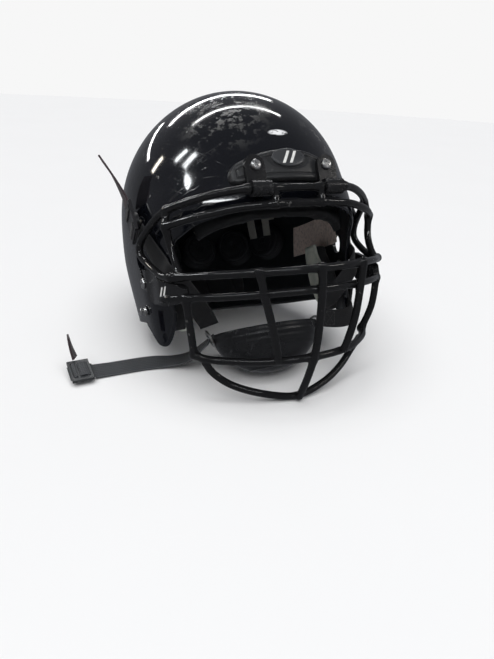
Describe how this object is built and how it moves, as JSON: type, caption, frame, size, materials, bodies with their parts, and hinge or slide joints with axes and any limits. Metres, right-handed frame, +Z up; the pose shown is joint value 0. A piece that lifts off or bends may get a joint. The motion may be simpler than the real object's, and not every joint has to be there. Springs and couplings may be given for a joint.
{
  "type": "american football helmet",
  "caption": "Full-size american football helmet with a welded wire face mask that swings up on its brow clips, padded liner, chin cup and a four-point chin strap with one strap unsnapped.",
  "frame": {"origin": "on the table, under the middle of the resting helmet's box, its loose strap left out", "axes": "+Z up, -Y out of the face opening, +X to the right as seen from the front"},
  "size_m": [0.333, 0.34, 0.2576],
  "materials": {
    "shell": "high gloss, scuffed",
    "bumper": "satin moulded",
    "emblem": "gloss",
    "clip": "satin gloss",
    "steel": "zinc plated",
    "wire": "gloss vinyl coat",
    "buckle": "satin",
    "webbing": "woven nylon",
    "cup": "satin",
    "cup_pad": "foam-backed knit",
    "pad_vinyl": "soft vinyl",
    "absorber": "matt moulded",
    "liner_knit": "brushed knit",
    "lace": "cotton",
    "pale_vinyl": "satin vinyl",
    "label": "satin film, blank"
  },
  "bodies": {
    "helmet": {"shell": "shell", "front_bumper": "bumper", "bumper_emblem": "emblem", "nape_bumper": "bumper", "brow_clip_left": "clip", "brow_clip_right": "clip", "brow_screws": "steel", "brow_tee_nuts": "steel", "side_screws": "steel", "side_tee_nuts": "steel", "upper_studs": "steel", "lower_studs": "steel", "stud_nuts": "steel", "lower_buckle_left": "buckle", "upper_strap_left": "webbing", "upper_strap_right": "webbing", "lower_strap_right": "webbing", "lower_strap_left": "webbing", "lower_tail_left": "webbing", "strap_rings": "steel", "chin_cup": "cup", "chin_cup_pad": "cup_pad", "brow_pad": "pad_vinyl", "side_absorbers": "absorber", "upper_absorbers": "absorber", "crown_pad": "liner_knit", "nape_pad": "liner_knit", "liner_lace": "lace", "jaw_pad_left": "liner_knit", "jaw_pad_right": "liner_knit", "jaw_face_left": "pale_vinyl", "jaw_face_right": "pale_vinyl", "label_patch": "label"},
    "facemask": {"brow_bar": "wire", "mask_loops": "wire", "lower_brow_bar": "wire", "eye_bar": "wire", "nose_bar": "wire", "mouth_bar": "wire", "chin_bar": "wire", "mask_uprights": "wire", "window_uprights": "wire", "brow_stubs": "wire", "side_clip_left": "clip", "side_clip_right": "clip"},
    "upper_snap_left": {"upper_buckle_left": "buckle", "upper_tail_left": "webbing"},
    "upper_snap_right": {"upper_buckle_right": "buckle", "upper_tail_right": "webbing"},
    "lower_snap_right": {"lower_buckle_right": "buckle", "lower_tail_right": "webbing"}
  },
  "joints": [
    {"name": "facemask_swing", "type": "hinge", "parent": "helmet", "child": "facemask", "pos_m": [0, -0.10938, 0.18892], "axis": [-1, 0, 0], "range_deg": [0, 100]},
    {"name": "upper_snap_left_pull", "type": "slide", "parent": "helmet", "child": "upper_snap_left", "axis": [-1, 0, 0], "range_m": [0, 0.006]},
    {"name": "upper_snap_right_pull", "type": "slide", "parent": "helmet", "child": "upper_snap_right", "axis": [1, 0, 0], "range_m": [0, 0.006]},
    {"name": "lower_snap_right_pull", "type": "slide", "parent": "helmet", "child": "lower_snap_right", "axis": [1, 0, 0], "range_m": [0, 0.006]}
  ]
}
